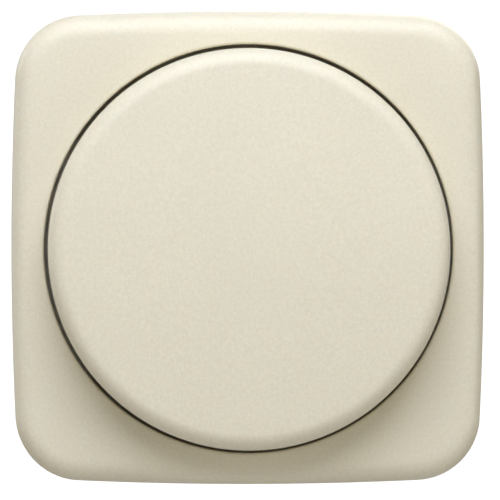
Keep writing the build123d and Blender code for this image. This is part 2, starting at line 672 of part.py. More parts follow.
with BuildPart() as potentiometer_can:
    with BuildSketch(at_height(CAN_BOTTOM)):
        Circle(CAN_RADIUS)
        Circle(CAN_RADIUS - CAN_WALL, mode=Mode.SUBTRACT)
    extrude(amount=-1.5 - CAN_BOTTOM)
    # inward stop that ends the knob's turn
    with BuildSketch(at_height(ROTOR_BOTTOM)):
        add(sector(CAN_RADIUS - CAN_WALL / 2, ROTOR_RADIUS + 0.4, 250, 290))
    extrude(amount=ROTOR_TOP - ROTOR_BOTTOM)
    with BuildSketch(at_height(CAN_BOTTOM)):
        with Locations(*[(x, -8.0) for x in POT_TAGS_X]):
            Rectangle(2.0, 5.0)
    extrude(amount=1.0, mode=Mode.SUBTRACT)
save(potentiometer_can, "potentiometer_can")

with BuildPart() as wiper_rotor:
    with BuildSketch(at_height(ROTOR_BOTTOM)):
        Circle(ROTOR_RADIUS)
        add(sector(ROTOR_RADIUS + 1.2, ROTOR_RADIUS - 0.5, 65, 115))
        with BuildSketch(mode=Mode.SUBTRACT):
            Circle(TAIL_RADIUS + RUNNING_GAP)
            with Locations((0, TAIL_FLAT + RUNNING_GAP + 1)):
                Rectangle(5, 2, mode=Mode.SUBTRACT)
    extrude(amount=ROTOR_TOP - ROTOR_BOTTOM)
save(wiper_rotor, "wiper_rotor")

with BuildPart() as wiper_contact:
    with BuildSketch(at_height(ROTOR_BOTTOM - 0.3)):
        Circle(4.2)
        Circle(2.6, mode=Mode.SUBTRACT)
        with Locations(*[(x, 5.0) for x in WIPER_FINGERS_X]):
            Rectangle(0.9, 2.4)
    extrude(amount=0.3)
    with BuildSketch(at_height(TRACK_TOP + 0.15)):
        with Locations(*[(x, 5.8) for x in WIPER_FINGERS_X]):
            Circle(0.4)
    extrude(amount=ROTOR_BOTTOM - 0.3 - TRACK_TOP - 0.15)
save(wiper_contact, "wiper_contact")

with BuildPart() as track_wafer:
    with BuildSketch(at_height(TRACK_TOP - 1.0)):
        Circle(8.05)
        Circle(2.3, mode=Mode.SUBTRACT)
    extrude(amount=1.0)
save(track_wafer, "track_wafer")

with BuildPart() as carbon_track:
    with BuildSketch(at_height(TRACK_TOP)):
        Circle(6.8)
        Circle(4.8, mode=Mode.SUBTRACT)
        with Locations((0, -8)):
            Rectangle(9.6, 9.0, mode=Mode.SUBTRACT)
    extrude(amount=0.1)
save(carbon_track, "carbon_track")

with BuildPart() as potentiometer_tags:
    with BuildSketch(at_height(PINS_END)):
        with Locations(*[(x, POT_PIN_Z) for x in POT_TAGS_X]):
            Rectangle(1.0, 0.5)
    extrude(amount=TAG_TOP - PINS_END)
    with BuildSketch(at_height(TAG_TOP)):
        with Locations(*[(x, -8.0) for x in POT_TAGS_X]):
            Rectangle(1.6, 3.7)
    extrude(amount=0.3)
save(potentiometer_tags, "potentiometer_tags")

# ---------------------------------------------------------------- push switch behind the potentiometer
SWITCH_TOP = -10.2
SWITCH_BOTTOM = -16.8
SWITCH_WALL = 0.8
PLUNGER_BOTTOM = -13.0
PLUNGER_SHOULDER = -11.2
PLUNGER_STEM_RADIUS = 2.2
CONTACT_TOP = -15.4
with BuildPart() as switch_case:
    with BuildSketch(at_height(SWITCH_BOTTOM)):
        RectangleRounded(15, 13.6, 0.8)
    extrude(amount=SWITCH_TOP - SWITCH_BOTTOM)
    with BuildSketch(at_height(SWITCH_BOTTOM + SWITCH_WALL)):
        Rectangle(12.6, 11.4)
    extrude(amount=SWITCH_TOP - SWITCH_BOTTOM - 2 * SWITCH_WALL, mode=Mode.SUBTRACT)
    with BuildSketch(at_height(SWITCH_TOP)):
        Circle(PLUNGER_STEM_RADIUS + 0.3)
    extrude(amount=-2, mode=Mode.SUBTRACT)
    with BuildSketch(at_height(SWITCH_BOTTOM)):
        with Locations(*SWITCH_PINS):
            Rectangle(1.2, 0.7)
    extrude(amount=2, mode=Mode.SUBTRACT)
save(switch_case, "switch_case")

with BuildPart() as switch_plunger:
    with BuildSketch(at_height(PLUNGER_BOTTOM)):
        RectangleRounded(11.6, 8.0, 0.6)
    extrude(amount=PLUNGER_SHOULDER - PLUNGER_BOTTOM)
    with BuildSketch(at_height(PLUNGER_SHOULDER)):
        Circle(PLUNGER_STEM_RADIUS)
    extrude(amount=SHAFT_BOTTOM - PLUNGER_SHOULDER - 0.02)
    with BuildSketch(at_height(PLUNGER_BOTTOM)):
        Circle(2.4)
    extrude(amount=0.8, mode=Mode.SUBTRACT)
    # heart-shaped latch groove in the upper side of the slider
    with BuildSketch(Plane.XY.offset(4.2)):
        with Locations((0, 12.1)):
            Rectangle(3.0, 3.0)
    extrude(amount=-1.2, mode=Mode.SUBTRACT)
save(switch_plunger, "switch_plunger")

SPRING_WIRE = 0.3
SPRING_FOOT = SWITCH_BOTTOM + SWITCH_WALL + 0.2 + SPRING_WIRE / 2
SPRING_LENGTH = 3.4 - SPRING_WIRE
with BuildPart() as return_spring:
    with BuildLine() as coil:
        Helix(
            pitch=SPRING_LENGTH / 4,
            height=SPRING_LENGTH,
            radius=1.9,
            center=(0, -SPRING_FOOT, 0),
            direction=(0, -1, 0),
        )
    with BuildSketch(Plane(origin=coil.line @ 0, z_dir=coil.line % 0)):
        Circle(SPRING_WIRE / 2)
    sweep(path=coil.line)
save(return_spring, "return_spring")

with BuildPart() as moving_contact:
    with BuildSketch(at_height(PLUNGER_BOTTOM - 0.3)):
        with Locations((-5, 0), (5, 0)):
            Rectangle(1.4, 11.0)
        Rectangle(9, 1.0)
        Circle(3.4)
        Circle(2.6, mode=Mode.SUBTRACT)
    extrude(amount=0.28)
save(moving_contact, "moving_contact")

with BuildPart() as fixed_contacts:
    with BuildSketch(at_height(PINS_END)):
        with Locations(*SWITCH_PINS):
            Rectangle(0.9, 0.5)
    extrude(amount=CONTACT_TOP - PINS_END)
    with BuildSketch(at_height(CONTACT_TOP)):
        with Locations(*SWITCH_PINS):
            Circle(0.7)
    extrude(amount=0.5)
save(fixed_contacts, "fixed_contacts")

LATCH_WIRE_RADIUS = 0.3
with BuildPart() as latch_pin:
    with BuildSketch(at_height(SWITCH_BOTTOM + SWITCH_WALL + 0.1)):
        with Locations((0, 5.0)):
            Circle(LATCH_WIRE_RADIUS)
    extrude(amount=4.4)
    with BuildSketch(Plane.XY.offset(3.6)):
        with Locations((0, 11.7)):
            Circle(LATCH_WIRE_RADIUS)
    extrude(amount=1.4)
save(latch_pin, "latch_pin")


# ---------------------------------------------------------------- parts on the board
CORE_OUTER = 6.3
CORE_INNER = 3.3
CORE_MIDDLE = (CORE_OUTER + CORE_INNER) / 2
CORE_THICK = 5.0
WINDING_TURNS = 20
WINDING_START = 90.0
WINDING_COVERAGE = 300.0
WINDING_WIRE_RADIUS = 0.33
with BuildPart() as choke_core:
    with BuildSketch(at_height(CHOKE_HEIGHT - CORE_THICK / 2)):
        with Locations(CHOKE):
            Circle(CORE_OUTER)
            Circle(CORE_INNER, mode=Mode.SUBTRACT)
    extrude(amount=CORE_THICK)
    fillet(choke_core.edges().filter_by(GeomType.CIRCLE), radius=0.5)
save(choke_core, "choke_core")

with BuildPart() as choke_winding:
    for turn in range(WINDING_TURNS):
        angle = radians(WINDING_START + WINDING_COVERAGE * turn / (WINDING_TURNS - 1))
        c, s = cos(angle), sin(angle)
        section = Plane(
            origin=(CHOKE[0] + CORE_MIDDLE * c, -CHOKE_HEIGHT, CHOKE[1] + CORE_MIDDLE * s),
            x_dir=(c, 0, s),
            z_dir=(-s, 0, c),
        )
        with BuildSketch(section, mode=Mode.PRIVATE) as one_turn:
            RectangleRounded(CORE_OUTER - CORE_INNER + 0.9, CORE_THICK + 0.9, 0.7)
        path = one_turn.sketch.wires()[0]
        with BuildSketch(Plane(origin=path @ 0, z_dir=path % 0)):
            Circle(WINDING_WIRE_RADIUS)
        sweep(path=path)
save(choke_winding, "choke_winding")

PART_FOOT = BOARD_FRONT + 0.1

with BuildPart() as film_capacitor:
    with BuildSketch(at_height(PART_FOOT)):
        with Locations((-8.0, TRIAC_Z)):
            Rectangle(13, 8)
    extrude(amount=10)
    fillet(film_capacitor.edges(), radius=0.5)
save(film_capacitor, "film_capacitor")

LEAD_RADIUS = 0.33
THIN_LEAD_RADIUS = 0.28
axial_parts = [(x, 0, RESISTOR_LEAD_Z, RESISTOR_HALF) for x in RESISTORS_X]
axial_parts.append((*DIAC, DIAC_LEAD_Z, DIAC_HALF))
with BuildPart() as component_leads:
    with BuildSketch(at_height(PINS_END)):
        with Locations(*LEAD_HOLES):
            Circle(LEAD_RADIUS)
    extrude(amount=PART_FOOT - PINS_END)
    with BuildSketch(at_height(PINS_END)):
        with Locations(*AXIAL_HOLES):
            Circle(THIN_LEAD_RADIUS)
    extrude(amount=RESISTOR_AXIS + THIN_LEAD_RADIUS - PINS_END)
    for x, z, reach, body_end in axial_parts:
        for way in (-1, 1):
            with BuildSketch(Plane.XY.offset(z + way * body_end)):
                with Locations((x, -RESISTOR_AXIS)):
                    Circle(THIN_LEAD_RADIUS)
            extrude(amount=way * (reach - body_end))
save(component_leads, "component_leads")

with BuildPart() as timing_capacitors:
    with BuildSketch(at_height(PART_FOOT)):
        with Locations((11.8, 0), (14.8, 0)):
            Rectangle(2.4, 7.2)
    extrude(amount=6.5)
    fillet(timing_capacitors.edges(), radius=0.3)
save(timing_capacitors, "timing_capacitors")

with BuildPart() as resistors:
    for x in RESISTORS_X:
        with BuildSketch(Plane.XY.offset(-RESISTOR_HALF)):
            with Locations((x, -RESISTOR_AXIS)):
                Circle(1.0)
        extrude(amount=2 * RESISTOR_HALF)
        for way in (-1, 1):
            with BuildSketch(Plane.XY.offset(way * RESISTOR_HALF)):
                with Locations((x, -RESISTOR_AXIS)):
                    Circle(1.2)
            extrude(amount=-1.4 * way)
save(resistors, "resistors")

with BuildPart() as diac:
    with BuildSketch(Plane.XY.offset(DIAC[1] - DIAC_HALF)):
        with Locations((DIAC[0], -RESISTOR_AXIS)):
            Circle(0.95)
    extrude(amount=2 * DIAC_HALF)
    fillet(diac.edges(), radius=0.4)
save(diac, "diac")

# triac riveted flat against the frame, which is its heat sink
PAD_THICK = 0.2
TAB_THICK = 1.3
TRIAC_THICK = 4.4
LEAD_HEIGHT = -3.15
with BuildPart() as triac_pad:
    with BuildSketch(at_height(-PAD_THICK)):
        with Locations((-8.8, TRIAC_Z)):
            Rectangle(16.0, 10.0)
        with Locations((TRIAC_HOLE_X, TRIAC_Z)):
            Circle(M3_RADIUS + 0.1, mode=Mode.SUBTRACT)
    extrude(amount=PAD_THICK)
save(triac_pad, "triac_pad")

with BuildPart() as triac_tab:
    with BuildSketch(at_height(-PAD_THICK - TAB_THICK)):
        with Locations((-13.3, TRIAC_Z)):
            Rectangle(6.4, 10.0)
        with Locations((TRIAC_HOLE_X, TRIAC_Z)):
            Circle(1.9, mode=Mode.SUBTRACT)
    extrude(amount=TAB_THICK)
    chamfer(triac_tab.edges().filter_by(Axis.Y).sort_by(Axis.X)[:2], length=1.0)
save(triac_tab, "triac_tab")

with BuildPart() as triac_body:
    with BuildSketch(at_height(-PAD_THICK - TRIAC_THICK)):
        with Locations((-5.6, TRIAC_Z)):
            Rectangle(9.0, 10.0)
    extrude(amount=TRIAC_THICK)
    chamfer(triac_body.edges().group_by(Axis.Y)[-1], length=0.4)
save(triac_body, "triac_body")

with BuildPart() as triac_leads:
    for z in TRIAC_LEADS_Z:
        with BuildSketch(at_height(LEAD_HEIGHT)):
            with Locations((TRIAC_LEAD_X - 0.55, z)):
                Rectangle(1.6, 0.8)
        extrude(amount=0.5)
        with BuildSketch(at_height(LEAD_HEIGHT)):
            with Locations((TRIAC_LEAD_X, z)):
                Rectangle(0.5, 0.8)
        extrude(amount=PINS_END - LEAD_HEIGHT)
save(triac_leads, "triac_leads")

RIVET_HEAD = (2.6, 0.9)
with BuildPart() as triac_rivet:
    tab_back = -PAD_THICK - TAB_THICK
    for start, radius, reach in (
        (FRAME_THICK, RIVET_HEAD[0], RIVET_HEAD[1]),
        (tab_back, RIVET_HEAD[0], -RIVET_HEAD[1]),
        (tab_back, M3_RADIUS, FRAME_THICK - tab_back),
    ):
        with BuildSketch(at_height(start)):
            with Locations((TRIAC_HOLE_X, TRIAC_Z)):
                Circle(radius)
        extrude(amount=reach)
    fillet(triac_rivet.faces().sort_by(Axis.Y)[0].edges(), radius=0.4)
save(triac_rivet, "triac_rivet")

# trimmer for the lowest brightness, turned with a screwdriver through the frame
SPINDLE_FOOT = BOARD_FRONT + 1.65
with BuildPart() as trimmer_base:
    with BuildSketch(at_height(PART_FOOT)):
        with Locations(TRIMMER):
            RectangleRounded(5.0, 5.0, 0.5)
    extrude(amount=4.0)
    with BuildSketch(at_height(SPINDLE_FOOT - RUNNING_GAP)):
        with Locations(TRIMMER):
            Circle(TRIMMER_RADIUS + 0.1)
    extrude(amount=3, mode=Mode.SUBTRACT)
save(trimmer_base, "trimmer_base")

with BuildPart() as trimmer_spindle:
    with BuildSketch(at_height(SPINDLE_FOOT)):
        with Locations(TRIMMER):
            Circle(TRIMMER_RADIUS)
    extrude(amount=TRIMMER_TOP - SPINDLE_FOOT)
    with BuildSketch(at_height(TRIMMER_TOP)):
        with Locations(TRIMMER):
            Rectangle(3.4, 0.8, rotation=90)
            Rectangle(3.4, 0.8)
    extrude(amount=-1.4, mode=Mode.SUBTRACT)
save(trimmer_spindle, "trimmer_spindle")

# ---------------------------------------------------------------- fuse
FUSE_MIDDLE = Plane.YZ.offset(FUSE_X)
FUSE_CENTRE = (-FUSE_HEIGHT, FUSE_Z)
FUSE_HALF = 10.0
CAP_RADIUS = 2.6
CAP_END = 0.8
CAP_LENGTH = 5.0
GLASS_RADIUS = 2.4
with BuildPart() as fuse_glass:
    with BuildSketch(FUSE_MIDDLE.offset(1.0 - FUSE_HALF)):
        with Locations(FUSE_CENTRE):
            Circle(GLASS_RADIUS)
            Circle(GLASS_RADIUS - 0.4, mode=Mode.SUBTRACT)
    extrude(amount=2 * (FUSE_HALF - 1.0))
save(fuse_glass, "fuse_glass")

with BuildPart() as fuse_caps:
    for way in (1, -1):
        with BuildSketch(FUSE_MIDDLE.offset(-FUSE_HALF * way)):
            with Locations(FUSE_CENTRE):
                Circle(CAP_RADIUS)
        extrude(amount=CAP_LENGTH * way)
        with BuildSketch(FUSE_MIDDLE.offset((CAP_END - FUSE_HALF) * way)):
            with Locations(FUSE_CENTRE):
                Circle(GLASS_RADIUS + 0.02)
        extrude(amount=CAP_LENGTH * way, mode=Mode.SUBTRACT)
save(fuse_caps, "fuse_caps")

with BuildPart() as fuse_wire:
    with BuildSketch(FUSE_MIDDLE.offset(CAP_END - FUSE_HALF)):
        with Locations(FUSE_CENTRE):
            Circle(0.15)
    extrude(amount=2 * (FUSE_HALF - CAP_END))
save(fuse_wire, "fuse_wire")

CLIP_WIDTH = 3.2
CLIP_FOOT = -8.5
CLIP_SHEET = 0.4

with BuildPart() as fuse_clips:
    for x in (FUSE_X - FUSE_CLIP_X, FUSE_X + FUSE_CLIP_X):
        with BuildSketch(Plane.YZ.offset(x - CLIP_WIDTH / 2)):
            with Locations(FUSE_CENTRE):
                Circle(CAP_RADIUS + CLIP_SHEET)
                Circle(CAP_RADIUS + RUNNING_GAP, mode=Mode.SUBTRACT)
                with Locations((-2.4, 0)):
                    Rectangle(2.4, 6, mode=Mode.SUBTRACT)
        extrude(amount=CLIP_WIDTH)
        with BuildSketch(at_height(CLIP_FOOT)):
            with Locations((x, -12.9)):
                Rectangle(1.2, 4.4)
        extrude(amount=CLIP_SHEET)
        with BuildSketch(at_height(CLIP_FOOT + CLIP_SHEET)):
            with Locations((x, FUSE_CLIP_PIN_Z)):
                Rectangle(1.2, CLIP_SHEET)
        extrude(amount=PINS_END - CLIP_FOOT - CLIP_SHEET)
save(fuse_clips, "fuse_clips")

CARRIER_TOP = 1.4
CARRIER_UNDER = -0.4
with BuildPart() as fuse_carrier:
    with BuildSketch(at_height(CARRIER_UNDER)):
        with Locations((FUSE_X, FUSE_Z)):
            RectangleRounded(FUSE_OPENING[0] - 0.4, FUSE_OPENING[1] - 0.4, 0.7)
    extrude(amount=CARRIER_TOP - CARRIER_UNDER)
    fillet(fuse_carrier.faces().sort_by(Axis.Y)[0].edges(), radius=0.4)
    with BuildSketch(at_height(CARRIER_TOP)):
        with Locations((FUSE_X, FUSE_Z)):
            Rectangle(8.0, 1.0)
    extrude(amount=-0.6, mode=Mode.SUBTRACT)
    # end arms beyond the fuse's caps, and side fingers that grip its glass
    with BuildSketch(at_height(CARRIER_UNDER)):
        with Locations((FUSE_X - FUSE_HALF - 0.7, FUSE_Z), (FUSE_X + FUSE_HALF + 0.7, FUSE_Z)):
            Rectangle(0.8, 7.0)
    extrude(amount=-7.2)
    with BuildSketch(at_height(CARRIER_UNDER)):
        with Locations((FUSE_X, FUSE_Z + 3.0), (FUSE_X, FUSE_Z - 3.0)):
            Rectangle(9.0, 0.8)
    extrude(amount=-3.0)
save(fuse_carrier, "fuse_carrier")
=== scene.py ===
"""Looks for the flush-mounted rotary dimmer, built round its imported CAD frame."""

import json
import math

import bmesh
import bpy
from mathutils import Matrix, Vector


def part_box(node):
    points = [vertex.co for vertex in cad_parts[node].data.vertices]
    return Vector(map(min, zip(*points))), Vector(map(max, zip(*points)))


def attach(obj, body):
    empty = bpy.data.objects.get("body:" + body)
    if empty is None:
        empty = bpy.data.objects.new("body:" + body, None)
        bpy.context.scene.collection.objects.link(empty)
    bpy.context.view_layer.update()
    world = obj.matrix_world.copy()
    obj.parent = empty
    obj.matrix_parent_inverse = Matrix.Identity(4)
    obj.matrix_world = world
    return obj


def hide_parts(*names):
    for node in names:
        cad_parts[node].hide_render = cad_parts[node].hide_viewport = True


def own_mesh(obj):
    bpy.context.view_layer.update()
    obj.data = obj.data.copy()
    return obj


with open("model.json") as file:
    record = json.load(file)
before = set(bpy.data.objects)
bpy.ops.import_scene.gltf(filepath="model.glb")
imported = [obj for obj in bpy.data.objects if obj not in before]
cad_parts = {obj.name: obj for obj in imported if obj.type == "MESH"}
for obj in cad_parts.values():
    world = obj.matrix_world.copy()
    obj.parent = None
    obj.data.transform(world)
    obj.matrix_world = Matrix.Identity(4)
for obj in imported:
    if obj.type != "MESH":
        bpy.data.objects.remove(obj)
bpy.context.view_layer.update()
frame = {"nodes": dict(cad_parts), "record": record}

MM = 0.001
ORIGIN = Vector((0, 0, 0))

# steps along each line of the two cream mouldings
SIDE_STEPS = 44
CORNER_STEPS = 30
FOOT_STEPS = 5
PLATE_EDGE_STEPS = 26
LIP_STEPS = 8
ROUND_STEPS = 256
DOME_STEPS = 24
KNOB_EDGE_STEPS = 30

SHARP = math.radians(35)  # the smallest turn of the surface that is drawn as an edge
EDGE_BREAK = 0.15 * MM  # radius that the materials give to sharp edges


# ---------------------------------------------------------------- materials
# noise scales, in cells per metre
WAVES = 30
CLOUDS = 55
TONES = 140
GLASS_WEAR = 300
METAL_WEAR = 420
PLASTIC_WEAR = 900
SCRATCHES = 1400
FLECKS = 1800

# the range of a noise's values that is worth using
NOISE_LOW = 0.3
NOISE_HIGH = 0.7


class Nodes:
    """Short calls for building one material's node tree."""

    def __init__(self, name):
        self.material = bpy.data.materials.new(name)
        self.material.use_nodes = True
        self.tree = self.material.node_tree
        self.bsdf = self.tree.nodes["Principled BSDF"]
        self.coords = self.tree.nodes.new("ShaderNodeTexCoord").outputs["Object"]

    def add(self, kind, **settings):
        node = self.tree.nodes.new("ShaderNode" + kind)
        for key, value in settings.items():
            setattr(node, key, value)
        return node

    def link(self, source, target):
        self.tree.links.new(source, target)

    def noise(self, scale, detail=3.0, roughness=0.5, stretch=(1, 1, 1)):
        mapping = self.add("Mapping")
        mapping.inputs["Scale"].default_value = stretch
        self.link(self.coords, mapping.inputs["Vector"])
        node = self.add("TexNoise")
        node.inputs["Scale"].default_value = scale
        node.inputs["Detail"].default_value = detail
        node.inputs["Roughness"].default_value = roughness
        self.link(mapping.outputs["Vector"], node.inputs["Vector"])
        return node.outputs["Fac"]

    def crystals(self, scale):
        node = self.add("TexVoronoi", feature="F1")
        node.inputs["Scale"].default_value = scale
        self.link(self.coords, node.inputs["Vector"])
        return node.outputs["Distance"]

    def remap(self, noise, low, high):
        """Spreads a noise between two values."""
        node = self.add("MapRange")
        node.inputs["From Min"].default_value = NOISE_LOW
        node.inputs["From Max"].default_value = NOISE_HIGH
        node.inputs["To Min"].default_value = low
        node.inputs["To Max"].default_value = high
        self.link(noise, node.inputs["Value"])
        return node.outputs["Result"]

    def mix(self, fac, a, b):
        """A colour between two others, by an output."""
        node = self.add("Mix", data_type="RGBA")
        node.inputs["A"].default_value = (*a, 1)
        node.inputs["B"].default_value = (*b, 1)
        self.link(fac, node.inputs["Factor"])
        return node.outputs["Result"]

    def dim(self, color, value):
        """Multiplies a colour by a value, both of them outputs."""
        node = self.add("Mix", data_type="RGBA", blend_type="MULTIPLY")
        node.inputs["Factor"].default_value = 1.0
        self.link(color, node.inputs["A"])
        self.link(value, node.inputs["B"])
        return node.outputs["Result"]

    def bump(self, heights, edge=0.0):
        """Stacks (height, strength, distance) bumps, coarse to fine, over edges rounded by this radius."""
        last = None
        if edge:
            round_edge = self.add("Bevel", samples=6)
            round_edge.inputs["Radius"].default_value = edge
            last = round_edge.outputs["Normal"]
        for height, strength, distance in heights:
            node = self.add("Bump")
            node.inputs["Strength"].default_value = strength
            node.inputs["Distance"].default_value = distance
            self.link(height, node.inputs["Height"])
            if last:
                self.link(last, node.inputs["Normal"])
            last = node.outputs["Normal"]
        self.link(last, self.bsdf.inputs["Normal"])

    def set(self, **values):
        """Sets the shader's own sockets, whose names are given with _ for each space."""
        for key, value in values.items():
            self.bsdf.inputs[key.replace("_", " ")].default_value = value


def plastic(
    name, color, roughness, grain=2600.0, grain_depth=0.03 * MM,
    mottle=0.04, fleck=0.04, soft=0.0, sheen=0.5, edge=EDGE_BREAK,
):
    """Moulded plastic: cloudy, flecked colour and a fine grain, translucent by the amount called soft."""
    m = Nodes(name)
    dark = tuple(c * (1 - mottle) for c in color)
    light = tuple(min(1.0, c * (1 + mottle)) for c in color)
    clouds = m.mix(m.remap(m.noise(CLOUDS, 4), 0, 1), dark, light)
    flecks = m.remap(m.noise(FLECKS, 4, 0.8), 1 - fleck, 1)
    m.link(m.dim(clouds, flecks), m.bsdf.inputs["Base Color"])
    wear = m.remap(m.noise(PLASTIC_WEAR, 3), roughness - 0.05, roughness + 0.06)
    m.link(wear, m.bsdf.inputs["Roughness"])
    m.bump([(m.noise(WAVES, 2), 0.1, 0.4 * MM), (m.noise(grain, 4, 0.65), 0.55, grain_depth)], edge)
    m.set(IOR=1.5, Specular_IOR_Level=sheen)
    if soft:
        m.set(Subsurface_Weight=soft, Subsurface_Scale=1.5 * MM, Subsurface_Radius=(1.0, 0.75, 0.5))
    return m.material


def metal(name, color, roughness, brushed=(1, 1, 1), spangle=0.0, tarnish=0.08):
    """Bare or plated metal, brushed along an axis, with zinc crystals at the scale called spangle."""
    m = Nodes(name)
    dark = tuple(c * (1 - tarnish) for c in color)
    tone = m.mix(m.remap(m.noise(TONES, 5, 0.6), 0, 1), dark, color)
    m.link(tone, m.bsdf.inputs["Base Color"])
    wear = m.remap(m.noise(METAL_WEAR, 5, 0.65, brushed), roughness - 0.1, roughness + 0.12)
    m.link(wear, m.bsdf.inputs["Roughness"])
    bumps = [(m.noise(SCRATCHES, 4, 0.6, brushed), 0.25, 0.02 * MM)]
    if spangle:
        bumps.insert(0, (m.crystals(spangle), 0.08, 0.05 * MM))
    m.bump(bumps, EDGE_BREAK)
    m.set(Metallic=1.0)
    return m.material


def glass(name):
    m = Nodes(name)
    m.set(Base_Color=(0.95, 0.98, 0.97, 1), Transmission_Weight=0.95, IOR=1.47)
    m.link(m.remap(m.noise(GLASS_WEAR), 0.02, 0.08), m.bsdf.inputs["Roughness"])
    return m.material


CREAM = (0.800, 0.744, 0.584)
BLACK = (0.026, 0.026, 0.028)
LOOKS = {
    "cream_plastic": plastic(
        "cream_plastic", CREAM, 0.5, mottle=0.014, fleck=0.13, soft=0.25, sheen=0.6, edge=0
    ),
    "black_plastic": plastic("black_plastic", BLACK, 0.46, grain=1500, grain_depth=0.04 * MM, mottle=0.2),
    "grey_plastic": plastic("grey_plastic", (0.22, 0.23, 0.25), 0.44, grain=1600, mottle=0.08),
    "white_plastic": plastic("white_plastic", (0.72, 0.72, 0.69), 0.4, mottle=0.02),
    "board": plastic("board", (0.32, 0.19, 0.08), 0.5, grain=900, grain_depth=0.04 * MM, mottle=0.2),
    "capacitor_film": plastic("capacitor_film", (0.52, 0.30, 0.05), 0.22, mottle=0.06),
    "resistor_body": plastic("resistor_body", (0.50, 0.36, 0.20), 0.3, mottle=0.06),
    "ferrite": plastic("ferrite", (0.60, 0.55, 0.10), 0.5, mottle=0.1),
    "carbon": plastic("carbon", (0.02, 0.02, 0.02), 0.35, mottle=0.2),
    "mica": plastic("mica", (0.60, 0.58, 0.50), 0.25, mottle=0.05),
    "diac_glass": plastic("diac_glass", (0.35, 0.06, 0.03), 0.15, mottle=0.1),
    "enamelled_copper": metal("enamelled_copper", (0.58, 0.20, 0.08), 0.25),
    "zinc_steel": metal("zinc_steel", (0.60, 0.61, 0.62), 0.34, (1, 1, 14), spangle=260),
    "screw_steel": metal("screw_steel", (0.63, 0.62, 0.58), 0.28),
    "spring_steel": metal("spring_steel", (0.50, 0.51, 0.53), 0.25),
    "brass": metal("brass", (0.72, 0.50, 0.20), 0.28, tarnish=0.2),
    "tinned_copper": metal("tinned_copper", (0.70, 0.69, 0.66), 0.32, tarnish=0.15),
    "glass": glass("glass"),
}

for entry in frame["record"]["subparts"]:
    node = frame["nodes"][entry["node"]]
    node.data.materials.clear()
    node.data.materials.append(LOOKS[entry["material_slot"]])


# ---------------------------------------------------------------- mesh helpers
def cushion_ring(inset, height, half, side, corner):
    """Points of the bowed-square outline, inset by a distance, at this height off the wall.

    half is half the width, side the radius of the bowed sides and corner that of the corners.
    """
    shift = side - half
    c = (-shift + math.sqrt(2 * (side - corner) ** 2 - shift**2)) / 2
    turn = math.atan2(c, c + shift)
    spots = []
    for quarter in range(4):
        base = quarter * math.pi / 2
        for step in range(SIDE_STEPS):
            a = -turn + 2 * turn * step / SIDE_STEPS
            spots.append((base, -shift + (side - inset) * math.cos(a), (side - inset) * math.sin(a)))
        for step in range(CORNER_STEPS):
            a = turn + (math.pi / 2 - 2 * turn) * step / CORNER_STEPS
            spots.append((base, c + (corner - inset) * math.cos(a), c + (corner - inset) * math.sin(a)))
    return [
        Vector((u * math.cos(b) - v * math.sin(b), -height, u * math.sin(b) + v * math.cos(b)))
        for b, u, v in spots
    ]


def round_ring(radius, height, angles):
    """Points of a circle round the shaft, at this height off the wall."""
    return [Vector((radius * math.cos(a), -height, radius * math.sin(a))) for a in angles]


def arc(center, radius, start, end, steps):
    """Points (offset, height) along an arc, angles in degrees."""
    return [
        (
            center[0] + radius * math.cos(math.radians(start + (end - start) * n / steps)),
            center[1] + radius * math.sin(math.radians(start + (end - start) * n / steps)),
        )
        for n in range(steps + 1)
    ]


def soft_corner(center, reach, power, steps):
    """Points (offset, height) of a rounding from front to side, whose curvature fades in at both ends."""
    spots = []
    for n in range(steps + 1):
        a = math.pi / 2 * (1 - n / steps)
        c, s = abs(math.cos(a)) ** (2 / power), abs(math.sin(a)) ** (2 / power)
        spots.append((center[0] + reach * c, center[1] + reach * s))
    return spots


def skin(name, rings, closed, slot, body, replaced):
    """A smooth-shaded piece whose surface runs through these rings of points, in place of a CAD node.

    A ring of one point closes the surface there; closed joins the last ring to the first.
    """
    mesh = bpy.data.meshes.new(name)
    work = bmesh.new()
    rows = [[work.verts.new(p) for p in ring] for ring in rings]
    pairs = list(zip(rows, rows[1:]))
    if closed:
        pairs.append((rows[-1], rows[0]))
    for low, high in pairs:
        count = max(len(low), len(high))
        for n in range(count):
            m = (n + 1) % count
            if len(low) == 1:
                work.faces.new((low[0], high[n], high[m]))
            elif len(high) == 1:
                work.faces.new((low[n], high[0], low[m]))
            else:
                work.faces.new((low[n], high[n], high[m], low[m]))
    bmesh.ops.recalc_face_normals(work, faces=work.faces)
    work.to_mesh(mesh)
    work.free()
    for face in mesh.polygons:
        face.use_smooth = True
    mesh.set_sharp_from_angle(angle=SHARP)
    piece = bpy.data.objects.new(name, mesh)
    bpy.context.scene.collection.objects.link(piece)
    mesh.materials.append(LOOKS[slot])
    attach(piece, body)
    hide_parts(replaced)
    return piece


# ---------------------------------------------------------------- cover plate
PLATE = (40.0 * MM, 620.0 * MM, 11.2 * MM)  # half width, radius of the sides, radius of the corners
FRONT = -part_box("cover_plate")[0].y
DRAFT = math.tan(math.radians(2.0))
FOOT = 0.25 * MM
EDGE = 3.9 * MM
EDGE_POWER = 2.35
WALL = 2.0 * MM
WALL_LEAN = 0.2 * MM
INNER_BREAK = 0.6 * MM
WELL = 34.4 * MM
WELL_OUT = 36.0 * MM
WELL_BREAK = 0.3 * MM
FLOOR_TOP = 4.6 * MM
FLOOR_UNDER = 3.0 * MM
BUSH_HOLE = 5.2 * MM
LIP = 0.5 * MM

# the outside, from the wall to the front, as insets from the outline
side_end = (FRONT - EDGE) * DRAFT + EDGE
side_to_front = reversed(soft_corner((0, 0), EDGE, EDGE_POWER, PLATE_EDGE_STEPS))
sections = arc((FOOT, FOOT), FOOT, -90, -180, FOOT_STEPS)
sections += [(side_end - s, FRONT - EDGE + h) for s, h in side_to_front]
rings = [cushion_ring(s, h, *PLATE) for s, h in sections]

